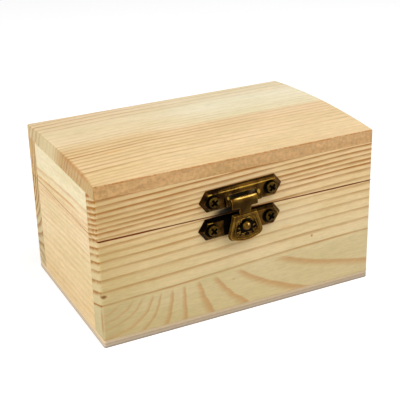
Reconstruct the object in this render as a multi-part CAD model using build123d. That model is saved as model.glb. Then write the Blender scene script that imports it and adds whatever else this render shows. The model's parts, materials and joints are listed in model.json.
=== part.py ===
from build123d import *
import os
from math import atan, cos, degrees, radians, sin, tan

# A small lidded pine box, closed, standing on z = 0 and centred on x and y.
# The front, with the latch, faces -Y. All sizes are millimetres.

# Carcass
box_width = 100.0
box_depth = 65.0
wall = 7.5                     # thickness of every solid wood wall
bottom_thickness = 2.8         # plywood bottom, flush with the walls outside
seam_height = 37.4             # middle of the joint between base and lid
seam_gap = 0.2
lid_wall_height = 13.7         # lid walls, from the joint up to the top board
top_edge_thickness = 4.3       # top board where it meets the front and back faces
top_crown = 1.6                # extra thickness of the top board along its middle
corner_radius = 0.9            # sanded upright corners
top_round = 1.2                # sanded upper edges of the top board
seam_arris = 0.2               # softened outer edges on both sides of the joint
foot_arris = 0.3               # softened lower edge of the plywood

# Screws, one kind for the latch and the hinges
screw_head_radius = 1.8
screw_head_height = 1.0
screw_shank_radius = 0.9
screw_length = 6.2             # under the head
screw_fit = 0.04               # radial room round a shank in wood and sheet metal
recess_span = 2.4              # cross recess, arm tip to arm tip
recess_width = 0.6
recess_depth = 0.55

# Latch, pressed from thin sheet and hung a little out of level
latch_tilt = 2.6               # degrees, right side up
catch_tilt = 1.7               # the lower plate hangs a little straighter
plate_length = 30.3
plate_height = 7.6
plate_point = 2.7              # how far each end tapers to its point
plate_face = 1.6               # outer face of a pressed plate above the wood
plate_bevel = 1.1              # width of the pressed slope round a plate
plate_edge_round = 0.35
sheet = 0.5                    # metal thickness of the plates
screw_spacing = 20.8           # between the two screws of one plate
hasp_x = -0.75                 # middle of the upper plate
hasp_rise = 6.0                # middle of the upper plate above the joint
catch_x = -1.15                # middle of the lower plate
catch_fall = 3.9               # middle of the lower plate below the joint

# Latch pin and the ears that hold it
pin_radius = 0.55
pin_drop = 1.8                 # pin below the middle line of the upper plate
pin_stand = 1.55               # pin axis above the wood
pin_hold = 0.02                # radial room where a pin is fixed
pin_running = 0.05             # radial room where a roll turns on a pin
ear_radius = 1.2
ear_length = 1.4
ear_rise = 2.3                 # ears run this far up the plate from the pin
ear_lead = 0.3                 # radius at the upper end of an ear
notch_top = 2.8                # top of the plate's notch above the pin
notch_side = 0.3               # room between the roll and each ear

# Latch tongue
roll_width = 9.4
tongue_sheet = 0.8
flap_drop = 2.0                # full-width flap below the pin
neck_width = 4.2
neck_end = 4.1                 # where the shield starts, below the pin
shield_top_width = 8.8
shield_low_width = 13.5
shield_side = 8.3              # height of the sloping sides
shield_bow = 1.8               # depth of the curved lower edge
shield_corner = 2.2
shield_shoulder = 0.6
shield_depth = 1.2             # from the rim to the face
shield_bevel = 0.5
shield_border = 0.75           # plain border inside the bevel
field_depth = 0.18             # sunk middle of the shield
rest_gap = 0.35                # shield rim above the lower plate when shut

# Knob, riveted through the tongue
knob_drop = 8.6                # below the pin
knob_radius = 1.45
knob_height = 1.35
knob_collar = 0.3
knob_shank_radius = 0.75
knob_tail_radius = 1.0
knob_tail_gap = 0.2            # tail end above the lower plate's face
catch_hole_radius = 1.5        # hole under the tail in the lower plate

# Back hinges
hinge_inset = 22.0             # middle of each hinge from the end of the box
hinge_length = 18.0
leaf_height = 8.2              # from the pin to the leaf's far edge
leaf_sheet = 0.65
leaf_corner = 0.9
hinge_stand = 1.4              # pin axis behind the back face
knuckle_radius = 1.15
knuckle_count = 3
knuckle_gap = 0.15             # between neighbouring knuckles
hinge_pin_overhang = 0.3
leaf_relief = 0.3              # room between a leaf and the other leaf's knuckles
leaf_screw_drop = 4.9          # screw rows from the pin
leaf_screw_spacing = 11.0

# Worked-out levels
half_width = box_width / 2
half_depth = box_depth / 2
base_rim = seam_height - seam_gap / 2
lid_rim = seam_height + seam_gap / 2
lid_shoulder = lid_rim + lid_wall_height
side_length = box_depth - 2 * wall
hasp_height = seam_height + hasp_rise
catch_height = seam_height - catch_fall
hinge_offset = half_width - hinge_inset
front_y = -half_depth
back_y = half_depth
roll_bore = pin_radius + pin_running
roll_radius = roll_bore + tongue_sheet
notch_half = roll_width / 2 + notch_side
rim_level = plate_face + rest_gap
shield_face = rim_level + shield_depth
hinge_axis_y = back_y + hinge_stand


def on_front(x, z, tilt=0.0):
    """Plane on the front face: local X to the right, Y up, Z out of the wood."""
    return Plane(
        origin=(x, front_y, z),
        x_dir=(cos(radians(tilt)), 0, sin(radians(tilt))),
        z_dir=(0, -1, 0),
    )


def on_back(x, z):
    """Plane on the back face: local X towards -X, Y up, Z out of the wood."""
    return Plane(origin=(x, back_y, z), x_dir=(-1, 0, 0), z_dir=(0, 1, 0))


hasp_plane = on_front(hasp_x, hasp_height, latch_tilt)
catch_plane = on_front(catch_x, catch_height, catch_tilt)
pin_spot = hasp_plane.from_local_coords((0, -pin_drop, 0))
tongue_plane = on_front(pin_spot.X, pin_spot.Z, latch_tilt)


# Wood

def block(x_from, x_to, y_from, y_to, z_from, z_to):
    size = Box(x_to - x_from, y_to - y_from, z_to - z_from, align=(Align.MIN,) * 3)
    return Pos(x_from, y_from, z_from) * size


def across_panel(outside, z_from, z_to):
    """Front or back wall over the full width; outside is -1 for front, 1 for back."""
    y_out = outside * half_depth
    y_in = outside * (half_depth - wall)
    panel = block(-half_width, half_width, min(y_out, y_in), max(y_out, y_in), z_from, z_to)
    uprights = panel.edges().filter_by(Axis.Z).sort_by(Axis.Y)
    outer = uprights[:2] if outside < 0 else uprights[-2:]
    return fillet(outer, corner_radius)


def side_panel(outside, z_from, z_to):
    """Left (-1) or right (1) wall, housed between the front and back walls."""
    x_out = outside * half_width
    x_in = outside * (half_width - wall)
    return block(min(x_out, x_in), max(x_out, x_in), -side_length / 2, side_length / 2, z_from, z_to)


def soften_seam(panel, level, outward):
    """Chamfer the outer long edge of a panel where it meets the joint."""
    at_level = [e for e in panel.edges() if abs(e.center().Z - level) < 0.01]
    outer = max(at_level, key=lambda e: e.center().dot(Vector(*outward)))
    return chamfer(outer, seam_arris)


def drill(piece, plane, spots):
    """Plain holes for screws, at (x, y, seat height) spots on a plane."""
    down = (Align.CENTER, Align.CENTER, Align.MAX)
    hole = Cylinder(screw_shank_radius + screw_fit, screw_length + screw_fit, align=down)
    for x, y, seat in spots:
        piece -= plane * Pos(x, y, seat) * hole
    return piece


def bottom_board():
    board = block(-half_width, half_width, front_y, back_y, 0, bottom_thickness)
    board = fillet(board.edges().filter_by(Axis.Z), corner_radius)
    return chamfer(board.faces().sort_by(Axis.Z)[0].edges(), foot_arris)


def top_board():
    """Top board with a gentle crown from front to back, grain along its length."""
    edge_z = lid_shoulder + top_edge_thickness
    section = Plane.YZ * make_face(
        Polyline((back_y, edge_z), (back_y, lid_shoulder), (front_y, lid_shoulder), (front_y, edge_z))
        + ThreePointArc((front_y, edge_z), (0, edge_z + top_crown), (back_y, edge_z))
    )
    board = extrude(section, half_width, both=True)
    board = fillet(board.edges().filter_by(Axis.Z), corner_radius)
    upper = [e for e in board.edges() if e.bounding_box().min.Z > edge_z - 0.01]
    return fillet(upper, top_round)


# Screws

def screw():
    """Cross recess screw along Z, head seat at z = 0, shank pointing down."""
    down = (Align.CENTER, Align.CENTER, Align.MAX)
    up = (Align.CENTER, Align.CENTER, Align.MIN)
    body = Cylinder(screw_shank_radius, screw_length, align=down)
    body += Cylinder(screw_head_radius, screw_head_height, align=up)
    arm = Box(recess_span, recess_width, recess_depth, align=down)
    floor = Pos(0, 0, screw_head_height)
    return body - floor * arm - floor * Rot(0, 0, 90) * arm


def screw_group(plane, spots):
    """Screws at (x, y, seat height) spots on a plane, as separate solids."""
    return Compound(children=[plane * Pos(x, y, seat) * screw() for x, y, seat in spots])


# Latch

def plate_shape(grow, height):
    """Pressed plate form: a pointed outline whose slopes run in towards the face."""
    half = plate_length / 2 + grow
    shoulder = half - plate_point
    rise = plate_height / 2 + grow
    outline = make_face(Polyline(
        (half, 0), (shoulder, rise), (-shoulder, rise),
        (-half, 0), (-shoulder, -rise), (shoulder, -rise), close=True,
    ))
    return extrude(outline, height, taper=degrees(atan(plate_bevel / plate_face)))


def pressed_plate():
    shell = plate_shape(0, plate_face)
    slopes = [e for e in shell.edges() if e.bounding_box().size.Z > plate_face / 2]
    shell = fillet(slopes, plate_edge_round)
    shell -= plate_shape(-sheet, plate_face - sheet)
    return drill(shell, Plane.XY, plate_screws)


def ear(side):
    """Rounded ear beside the notch, wrapped round one end of the pin."""
    profile = make_hull(
        (Pos(-pin_drop, pin_stand) * Circle(ear_radius)).edges()
        + (Pos(-pin_drop + ear_rise, plate_face - ear_lead / 2) * Circle(ear_lead)).edges()
    )
    inner = side * notch_half
    piece = extrude(Plane.YZ * profile, ear_length)
    return Pos(inner if side > 0 else inner - ear_length, 0, 0) * piece


def hasp_plate():
    """Upper plate: notch for the rolled tongue, with an ear on each side."""
    plate = pressed_plate()
    notch = Box(2 * notch_half, plate_height, 4 * plate_face, align=(Align.CENTER, Align.MAX, Align.CENTER))
    plate -= Pos(0, notch_top - pin_drop, 0) * notch
    plate += ear(-1)
    plate += ear(1)
    bore = Rot(0, 90, 0) * Cylinder(pin_radius + pin_hold, plate_length)
    bore &= Box(2 * (notch_half + ear_length), plate_length, plate_length)
    return hasp_plane * (plate - Pos(0, -pin_drop, pin_stand) * bore)


def catch_plate():
    """Lower plate, with the round hole that the knob's tail drops over."""
    return catch_plane * (pressed_plate() - tail_hole())


def tail_hole():
    knob_at = tongue_plane.from_local_coords((0, -knob_drop, 0))
    spot = catch_plane.to_local_coords(knob_at)
    return Pos(spot.X, spot.Y, 0) * Cylinder(catch_hole_radius, 4 * plate_face)


def latch_pin():
    length = 2 * (notch_half + ear_length)
    return tongue_plane * Pos(0, 0, pin_stand) * Rot(0, 90, 0) * Cylinder(pin_radius, length)


def shield_outline(inset):
    """Shield seen from the front, drawn in by inset all the way round."""
    lean = atan((shield_low_width - shield_top_width) / 2 / shield_side)
    across = inset / cos(lean)
    high_x = shield_top_width / 2 + inset * tan(lean) - across
    low_x = shield_top_width / 2 + (shield_side - inset) * tan(lean) - across
    high_y = -neck_end - inset
    low_y = -neck_end - shield_side + inset
    face = make_face(
        Polyline((low_x, low_y), (high_x, high_y), (-high_x, high_y), (-low_x, low_y))
        + ThreePointArc((-low_x, low_y), (0, low_y - shield_bow), (low_x, low_y))
    )
    upper = [v for v in face.vertices() if abs(v.Y - high_y) < 0.01]
    face = fillet(upper, max(shield_shoulder - inset, shield_shoulder / 4))
    lower = [v for v in face.vertices() if abs(v.Y - low_y) < 0.01]
    return fillet(lower, shield_corner - inset)


def dished(inset, depth):
    """Solid between the shield outline at its rim and the narrower one at its face."""
    rim = shield_outline(inset)
    face = Pos(0, 0, depth) * shield_outline(inset + shield_bevel * depth / shield_depth)
    return Pos(0, 0, rim_level) * loft([rim, face], ruled=True)


def shield():
    """Dished shield: sloping rim, plain border and a sunk field, hollow behind."""
    field = extrude(shield_outline(shield_bevel + shield_border), field_depth)
    hole = Pos(0, -knob_drop, 0) * Cylinder(knob_shank_radius + pin_hold, 4 * shield_face)
    body = dished(0, shield_depth) - dished(tongue_sheet, shield_depth - tongue_sheet)
    return body - Pos(0, 0, shield_face - field_depth) * field - hole


def tongue():
    """Latch tongue: a roll that turns on the pin, a flap, a neck and the shield."""
    roll = Pos(0, pin_stand) * (Circle(roll_radius) - Circle(roll_bore))
    reach = neck_end + shield_bevel
    strap = Pos(0, pin_stand + roll_bore) * Rectangle(reach, tongue_sheet, align=(Align.MAX, Align.MIN))
    side = extrude(Plane.YZ * (roll + strap), roll_width / 2, both=True)
    half = roll_width / 2
    neck = neck_width / 2
    front = make_face(Polyline(
        (-half, roll_radius), (half, roll_radius), (half, -flap_drop), (neck, -flap_drop),
        (neck, -reach), (-neck, -reach), (-neck, -flap_drop), (-half, -flap_drop), close=True,
    ))
    inner = [v for v in front.vertices() if abs(v.Y + flap_drop) < 0.01 and abs(v.X) < half - 0.1]
    front = fillet(inner, flap_drop / 4)
    strip = side & extrude(front, 4 * shield_face, both=True)
    return tongue_plane * (strip + shield())


def knob():
    """Round knob: dome and collar outside, shank through the face, tail behind."""
    back = shield_face - tongue_sheet
    face = shield_face - field_depth
    tail = plate_face + knob_tail_gap
    rise = knob_height - knob_collar
    dome = [
        (knob_radius * cos(radians(turn)), face + knob_collar + rise * sin(radians(turn)))
        for turn in (0, 45)
    ]
    side = Polyline(
        (0, face + knob_height), (0, tail), (knob_tail_radius, tail),
        (knob_tail_radius, back), (knob_shank_radius, back), (knob_shank_radius, face),
        (knob_radius, face), *dome, close=True,
    )
    body = revolve(Plane.XZ * make_face(side), Axis.Z)
    return tongue_plane * Pos(0, -knob_drop, 0) * body


# Hinges

def knuckle_span(index):
    """Start and end of one knuckle along the hinge, with a gap to its neighbours."""
    pitch = hinge_length / knuckle_count
    start = -hinge_length / 2 + index * pitch
    first = index == 0
    last = index == knuckle_count - 1
    return (start if first else start + knuckle_gap / 2, start + pitch - (0 if last else knuckle_gap / 2))


def leaf(x, up):
    """Hinge leaf on the back face; up is 1 on the lid (middle knuckle), -1 on the base."""
    plate = Pos(0, up * leaf_height / 2, leaf_sheet / 2) * Box(hinge_length, leaf_height, leaf_sheet)
    far = [e for e in plate.edges().filter_by(Axis.Z) if up * e.center().Y > leaf_height / 2]
    plate = fillet(far, leaf_corner)
    clear = knuckle_radius + leaf_relief
    plate -= Box(4 * hinge_length, 2 * clear, 4 * leaf_sheet)
    for index in range(knuckle_count):
        if (index % 2 == 1) != (up > 0):
            continue
        start, end = knuckle_span(index)
        stand = hinge_stand - knuckle_radius
        web = Pos(0, stand) * Rectangle(clear + leaf_sheet, leaf_sheet - stand, align=(Align.MIN, Align.MIN))
        if up < 0:
            web = mirror(web, Plane.YZ)
        ring = Pos(0, hinge_stand) * Circle(knuckle_radius)
        roll = extrude(Plane.YZ * (ring + web), end - start)
        plate += Pos(start, 0, 0) * roll
    bore = Pos(0, 0, hinge_stand) * Rot(0, 90, 0) * Cylinder(roll_bore, 2 * hinge_length)
    return on_back(x, seam_height) * drill(plate - bore, Plane.XY, leaf_screws(up))


def leaf_screws(up):
    return [(side * leaf_screw_spacing / 2, up * leaf_screw_drop, leaf_sheet) for side in (-1, 1)]


def hinge_pin(x):
    length = hinge_length + 2 * hinge_pin_overhang
    return on_back(x, seam_height) * Pos(0, 0, hinge_stand) * Rot(0, 90, 0) * Cylinder(pin_radius, length)


# Assembly

plate_screws = [(side * screw_spacing / 2, 0, plate_face) for side in (-1, 1)]
hinges = {"left": -hinge_offset, "right": hinge_offset}
parts = {}

for body, low, high in (("base", bottom_thickness, base_rim), ("lid", lid_rim, lid_shoulder)):
    joint = base_rim if body == "base" else lid_rim
    up = -1 if body == "base" else 1
    latch_plane = catch_plane if body == "base" else hasp_plane
    front = soften_seam(across_panel(-1, low, high), joint, (0, -1, 0))
    back = soften_seam(across_panel(1, low, high), joint, (0, 1, 0))
    for x in hinges.values():
        back = drill(back, on_back(x, seam_height), leaf_screws(up))
    parts[f"{body}_front_panel"] = drill(front, latch_plane, plate_screws)
    parts[f"{body}_back_panel"] = back
    parts[f"{body}_left_panel"] = soften_seam(side_panel(-1, low, high), joint, (-1, 0, 0))
    parts[f"{body}_right_panel"] = soften_seam(side_panel(1, low, high), joint, (1, 0, 0))

parts["bottom_board"] = bottom_board()
parts["lid_top_board"] = top_board()
parts["latch_hasp_plate"] = hasp_plate()
parts["latch_catch_plate"] = catch_plate()
parts["latch_pin"] = latch_pin()
parts["latch_tongue"] = tongue()
parts["latch_knob"] = knob()
parts["latch_hasp_screws"] = screw_group(hasp_plane, plate_screws)
parts["latch_catch_screws"] = screw_group(catch_plane, plate_screws)
for name, x in hinges.items():
    parts[f"hinge_{name}_pin"] = hinge_pin(x)
    for body, up in (("base", -1), ("lid", 1)):
        parts[f"hinge_{name}_{body}_leaf"] = leaf(x, up)
        parts[f"hinge_{name}_{body}_screws"] = screw_group(on_back(x, seam_height), leaf_screws(up))

os.makedirs("parts", exist_ok=True)
for name, shape in parts.items():
    export_step(shape, f"parts/{name}.step")
    print(name, round(shape.volume, 2))
print("lid pin axis", round(hinge_axis_y, 3), seam_height)
print("latch pin", [round(value, 4) for value in tongue_plane.from_local_coords((0, 0, pin_stand))])
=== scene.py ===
import json
from math import cos, pi, radians, sin

import bmesh
import bpy
import numpy as np
from mathutils import Matrix, Vector


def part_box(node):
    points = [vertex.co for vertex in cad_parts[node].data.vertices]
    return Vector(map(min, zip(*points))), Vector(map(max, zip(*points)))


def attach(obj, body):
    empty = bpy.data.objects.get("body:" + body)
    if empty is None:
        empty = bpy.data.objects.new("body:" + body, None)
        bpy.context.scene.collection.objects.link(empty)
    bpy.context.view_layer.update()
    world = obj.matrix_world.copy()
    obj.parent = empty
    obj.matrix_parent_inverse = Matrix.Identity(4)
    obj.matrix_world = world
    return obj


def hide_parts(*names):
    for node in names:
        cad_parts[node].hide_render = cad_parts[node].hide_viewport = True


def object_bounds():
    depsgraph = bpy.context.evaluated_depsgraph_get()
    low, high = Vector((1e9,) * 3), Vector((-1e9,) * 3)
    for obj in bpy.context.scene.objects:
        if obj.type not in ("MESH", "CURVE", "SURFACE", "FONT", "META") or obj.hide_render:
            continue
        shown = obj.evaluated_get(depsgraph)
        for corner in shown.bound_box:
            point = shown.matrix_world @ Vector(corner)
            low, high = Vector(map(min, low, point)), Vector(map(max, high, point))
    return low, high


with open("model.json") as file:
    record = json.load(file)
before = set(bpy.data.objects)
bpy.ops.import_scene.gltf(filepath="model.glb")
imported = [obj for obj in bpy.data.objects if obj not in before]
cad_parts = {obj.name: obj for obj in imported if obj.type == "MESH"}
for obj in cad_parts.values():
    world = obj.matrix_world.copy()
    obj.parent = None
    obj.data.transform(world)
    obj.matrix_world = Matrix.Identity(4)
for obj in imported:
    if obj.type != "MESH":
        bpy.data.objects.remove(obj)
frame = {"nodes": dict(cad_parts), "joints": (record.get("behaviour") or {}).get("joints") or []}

# Small pine box with a crowned lid and a pressed latch, built round the CAD frame.
# Lengths in the dictionaries are millimetres, colours are what the eye sees (sRGB, 0 to 255).

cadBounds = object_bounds()
mm = 0.001
white = (255, 255, 255)
scene = bpy.context.scene


def linear(colour):
    parts = [c / 255 for c in colour]
    return tuple(c / 12.92 if c <= 0.04045 else ((c + 0.055) / 1.055) ** 2.4 for c in parts) + (1.0,)


# shader helpers

def addNode(tree, kind, inputs=None, **settings):
    made = tree.nodes.new(kind)
    for name, value in settings.items():
        setattr(made, name, value)
    for key, value in (inputs or {}).items():
        if isinstance(value, bpy.types.NodeSocket):
            tree.links.new(value, made.inputs[key])
        else:
            made.inputs[key].default_value = value
    return made


def follow(kind, inputs, **settings):
    # the outputs of a new node, in the tree of the sockets that it takes its inputs from
    tree = next(value.id_data for value in inputs.values() if isinstance(value, bpy.types.NodeSocket))
    return addNode(tree, kind, inputs, **settings).outputs


def output(kind, inputs, **settings):
    return follow(kind, inputs, **settings)[0]


def calc(operation, *values):
    return output("ShaderNodeMath", dict(enumerate(values)), operation=operation)


def times(value, *factors):
    for factor in factors:
        value = calc("MULTIPLY", value, factor)
    return value


def timesPlus(value, factor, start):
    return calc("MULTIPLY_ADD", value, factor, start)


def ratio(value, start, span):
    return calc("DIVIDE", calc("SUBTRACT", value, start), span)


def shaken(value, unrest, amount):
    # the value, moved up and down by a noise
    return timesPlus(calc("SUBTRACT", unrest, 0.5), amount, value)


def smoothStep(value, low, high, toLow=0.0, toHigh=1.0):
    inputs = {"Value": value, "From Min": low, "From Max": high, "To Min": toLow, "To Max": toHigh}
    return output("ShaderNodeMapRange", inputs, interpolation_type="SMOOTHSTEP")


def mixValue(factor, first, second):
    return output("ShaderNodeMix", {0: factor, 2: first, 3: second})


def mixColour(factor, first, second, how="MIX"):
    inputs = {0: factor, 6: first, 7: second}
    return follow("ShaderNodeMix", inputs, data_type="RGBA", blend_type=how)[2]


def tinted(colour, tint):
    return mixColour(1.0, colour, tint, "MULTIPLY")


def shaded(colour, shade):
    grey = output("ShaderNodeCombineColor", {0: shade, 1: shade, 2: shade})
    return tinted(colour, grey)


def vector(x, y, z):
    return output("ShaderNodeCombineXYZ", {0: x, 1: y, 2: z})


def vectorCalc(operation, *values):
    return follow("ShaderNodeVectorMath", dict(enumerate(values)), operation=operation)


def separate(value):
    return follow("ShaderNodeSeparateXYZ", {0: value})


def noise(place, scale, detail, rough, seed):
    inputs = {"Vector": place, "W": seed, "Scale": scale, "Detail": detail, "Roughness": rough}
    return output("ShaderNodeTexNoise", inputs, noise_dimensions="4D")


def floatCurve(value, points):
    # points are (0..1, 0..1) pairs joined by straight runs
    made = addNode(value.id_data, "ShaderNodeFloatCurve", {"Value": value})
    curve = made.mapping.curves[0]
    for index, (px, py) in enumerate(points):
        if index < 2:
            curve.points[index].location = (px, py)
        else:
            curve.points.new(px, py)
    for point in curve.points:
        point.handle_type = "VECTOR"
    made.mapping.update()
    return made.outputs[0]


def rangeCurve(value, points, low, high):
    # the same curve for heights that run from low to high instead of 0 to 1
    fitted = [(px, (py - low) / (high - low)) for px, py in points]
    return timesPlus(floatCurve(value, fitted), high - low, low)


def ramp(value, stops):
    made = addNode(value.id_data, "ShaderNodeValToRGB", {0: value})
    elements = made.color_ramp.elements
    while len(elements) < len(stops):
        elements.new(0.5)
    for element, (position, colour) in zip(elements, stops):
        element.position = position
        element.color = linear(colour)
    return made.outputs[0]


def newMaterial(name):
    material = bpy.data.materials.new(name)
    material.use_nodes = True
    tree = material.node_tree
    tree.nodes.clear()
    return material, tree


def surface(tree):
    # the object's own coordinates in millimetres, and the way the surface faces
    coords = addNode(tree, "ShaderNodeTexCoord").outputs
    scaling = {"Vector": coords["Object"], "Scale": (1 / mm,) * 3}
    return output("ShaderNodeMapping", scaling), coords["Normal"]


def closeMaterial(colour, roughness, height, bumpDistance, fixed):
    # fixed holds the numbers that are the same all over the surface
    relief = {"Height": height, "Distance": bumpDistance * mm, "Strength": 1.0}
    normal = output("ShaderNodeBump", relief)
    inputs = {"Base Color": colour, "Roughness": roughness, "Normal": normal, **fixed}
    follow("ShaderNodeOutputMaterial", {"Surface": output("ShaderNodeBsdfPrincipled", inputs)})


# camera, lamps, floor

studio = {
    "cameraPlace": (-139.966, -291.291, 170.672),
    "cameraRight": (0.895639, -0.444101, -0.024591),
    "cameraUp": (0.199432, 0.351556, 0.914677),
    "lens": 90.27,
    "ambient": 0.315,
    "lamps": {                       # direction from the box, level at the box, size and distance in metres
        "lampLeft": ((-0.85, -0.1, 0.5), 0.58, 0.5, 0.9),
        "lampRight": ((0.38, -0.47, 0.8), 0.55, 0.5, 0.65),
    },
    "floorWidth": 4.0,
    "floorGrey": 0.85,
    "floorLift": 0.47,               # own light of the floor as the camera and reflections see it
}


def seenDirectly(tree):
    path = addNode(tree, "ShaderNodeLightPath").outputs
    seen = calc("MAXIMUM", path["Is Camera Ray"], path["Is Glossy Ray"])
    return calc("MAXIMUM", seen, path["Is Transmission Ray"])


def buildStudio(look):
    camera = bpy.data.objects.new("photoCamera", bpy.data.cameras.new("photoCamera"))
    scene.collection.objects.link(camera)
    right, up = Vector(look["cameraRight"]), Vector(look["cameraUp"])
    turn = Matrix((right, up, right.cross(up))).transposed().to_4x4()
    camera.matrix_world = Matrix.Translation(Vector(look["cameraPlace"]) * mm) @ turn
    camera.data.sensor_width = 36
    camera.data.lens = look["lens"]
    camera.data.clip_start = 0.01
    scene.camera = camera

    world = bpy.data.worlds.new("studioWorld")
    scene.world = world
    world.use_nodes = True
    tree = world.node_tree
    tree.nodes.clear()
    level = smoothStep(seenDirectly(tree), 0.0, 1.0, look["ambient"], 1.0)
    sky = output("ShaderNodeBackground", {"Color": (1, 1, 1, 1), "Strength": level})
    follow("ShaderNodeOutputWorld", {"Surface": sky})

    for name, (direction, strength, size, distance) in look["lamps"].items():
        lamp = bpy.data.lights.new(name, "AREA")
        lamp.size = size
        lamp.energy = strength * (pi * distance) ** 2
        holder = bpy.data.objects.new(name, lamp)
        scene.collection.objects.link(holder)
        away = Vector(direction).normalized()
        holder.location = away * distance + Vector((0, 0, 0.03))
        holder.rotation_euler = away.to_track_quat("Z", "Y").to_euler()

    half = look["floorWidth"] / 2
    corners = [(-half, -half, 0), (half, -half, 0), (half, half, 0), (-half, half, 0)]
    mesh = bpy.data.meshes.new("studioFloor")
    mesh.from_pydata(corners, [], [(0, 1, 2, 3)])
    floor = bpy.data.objects.new("studioFloor", mesh)
    scene.collection.objects.link(floor)
    material, tree = newMaterial("floorPaper")
    grey = look["floorGrey"]
    paper = addNode(tree, "ShaderNodeBsdfDiffuse", {"Color": (grey, grey, grey, 1)}).outputs[0]
    lift = times(seenDirectly(tree), look["floorLift"])
    both = {0: paper, 1: output("ShaderNodeEmission", {"Strength": lift})}
    follow("ShaderNodeOutputMaterial", {"Surface": output("ShaderNodeAddShader", both)})
    mesh.materials.append(material)
    scene.view_settings.view_transform = "Standard"


buildStudio(studio)
print("studio ready")


# wood

plainWood = {
    "inward": 1.0,                   # way into the board on the second axis
    "fade": [(-50, 1.0), (50, 1.0)],   # strength of the lines along the board
    "tints": [(-50, white), (50, white)],
    "markDepth": 0.5,                # share of a mark that is lost for each millimetre under the surface
    "longTone": white,               # multiplies the tone of the sawn long edges
    "arris": 0.0,                    # how brown their arris is
    "arrisTone": (172, 106, 44),
    "seamTone": (140, 62, 2),        # the burnt rims of the joint
    "marks": [],
}

frontWood = {
    **plainWood,
    "axes": (0, 1, 2),               # along the grain, into the board, across the lines
    "outer": -32.5,                  # outer face on the second axis
    "lines": [                       # height of each growth line near the left end, and its strength
        (58.0, 0.7), (55.6, 0.8), (53.4, 0.9), (51.4, 0.9), (49.4, 0.95), (47.4, 0.95), (45.6, 0.75),
        (43.8, 0.85), (42.2, 0.75), (40.6, 1.0), (38.8, 0.65), (35.9, 0.75), (33.6, 0.5), (31.0, 0.75),
        (28.0, 0.5), (24.6, 0.6), (20.6, 0.6), (16.0, 0.75), (11.0, 0.3), (6.0, 0.3)],
    "climb": [(-50, -0.15), (-28, 0.6), (-10, 1.35), (5, 2.15), (24, 2.95), (42, 3.5), (50, 3.6)],
    "dip": (0.3, 0.001, 1.0),        # slope of the lines into the board, its growth downward and its limit
    "wobble": 0.45,
    "lineWidth": 0.7,
    "lineStrength": 0.76,
    "tones": [(0, (223, 202, 152)), (14, (227, 206, 156)), (18, (241, 216, 165)), (34, (245, 215, 160)),
              (39, (247, 214, 160)), (52, (246, 212, 158))],
    "tints": [(-50, (233, 230, 217)), (-43, (239, 237, 227)), (-34, (246, 246, 241)),
              (-15, (250, 250, 248)), (5, white), (50, white)],
    "line": (182, 124, 48),
    "endTone": (251, 258, 273),      # multiplies the tone where the grain ends
    "endLine": (168, 112, 40),
    "endStrength": 1.6,              # how much stronger the lines are where the grain ends
    "seam": 0.95,                    # how burnt the rims of the joint are
    "mottle": 0.05,                  # fine blotches of light and dark
    "marks": [                       # along, across, half length, half height, strength, colour; the first is a painted shadow between the latch plates
        (-7.0, 37.0, 6.0, 0.75, 0.85, (16, 9, 4)), (26.5, 21.8, 0.5, 0.6, 0.7, (176, 112, 58)),
        (16.5, 27.4, 3.2, 0.9, 0.4, (226, 170, 84)), (-49.1, 18.4, 1.3, 0.75, 0.85, (128, 76, 26)),
        (-50.0, 9.0, 0.32, 7.0, 0.55, (166, 104, 48)), (-3.5, 13.0, 0.6, 0.4, 0.4, (190, 150, 110)),
        (18.0, 31.0, 15.0, 6.5, 0.3, (255, 234, 194))],
    "seed": 3.0,
}

backWood = {
    **frontWood, "outer": 32.5, "inward": -1.0, "seed": 11.0,
    "lines": [(62.0, 0.7), (57.5, 0.7), (53.4, 0.8), (49.0, 0.8), (45.2, 0.8), (41.4, 0.9), (37.4, 0.9),
              (33.4, 0.95), (29.8, 0.9), (26.4, 0.8), (23.2, 0.7), (20.2, 0.6), (17.0, 0.6), (13.9, 0.55),
              (11.0, 0.55), (8.4, 0.5), (6.0, 0.4), (4.0, 0.3)],
    "climb": [(-50, 0.0), (-20, -0.6), (0, -1.6), (25, -2.8), (50, -3.4)],
    "dip": (-2.5, 0.062, 0.3), "wobble": 0.7, "lineWidth": 0.85, "lineStrength": 0.6, "endStrength": 1.7,
    "tones": [(0, (232, 218, 180)), (18, (234, 215, 174)), (26, (237, 209, 158)), (52, (240, 206, 150))],
    "endTone": (250, 250, 250), "endLine": (152, 92, 28), "marks": [],
}

sideWood = {
    **plainWood,
    "axes": (1, 0, 2),
    "outer": -50.0,
    "lines": [(58.0, 0.2), (53.0, 0.15), (49.0, 0.1), (43.9, 0.5), (40.9, 1.15), (39.2, 0.35), (37.6, 0.7),
              (36.6, 0.6), (35.2, 0.5), (33.4, 0.3), (31.8, 0.3), (30.2, 0.25), (28.4, 0.4), (26.0, 0.4),
              (23.4, 0.2), (20.6, 0.2), (18.0, 0.4), (15.0, 0.2), (12.4, 0.25), (10.2, 0.2), (7.6, 0.45),
              (5.2, 0.25), (2.6, 0.2)],
    "climb": [(-32.5, 1.8), (-22, 1.2), (-10, 0.7), (-2.5, 0.3), (5, -0.1), (17.5, -1.0), (32.5, -2.2)],
    "dip": (0.3, 0.0, 1.0), "wobble": 0.9, "lineWidth": 0.9, "lineStrength": 0.62, "endStrength": 2.0,
    "tones": [(0, (231, 202, 152)), (15, (232, 206, 157)), (30, (236, 213, 168)), (38, (237, 213, 168)),
              (42, (237, 216, 172)), (44.5, (236, 221, 180)), (52, (235, 220, 179))],
    "line": (204, 146, 82), "endTone": (228, 230, 222), "endLine": (140, 84, 40),
    "seam": 0.08, "mottle": 0.075, "seed": 7.0,
    "marks": [(-23.5, 41.8, 12.5, 1.0, 0.8, (238, 214, 170)), (-20.0, 8.2, 4.5, 0.9, 0.3, (224, 178, 110)),
              (-6.0, 5.0, 3.5, 0.7, 0.25, (214, 170, 112)), (12.0, 27.5, 5.0, 0.8, 0.3, (214, 178, 110))],
}

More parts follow.
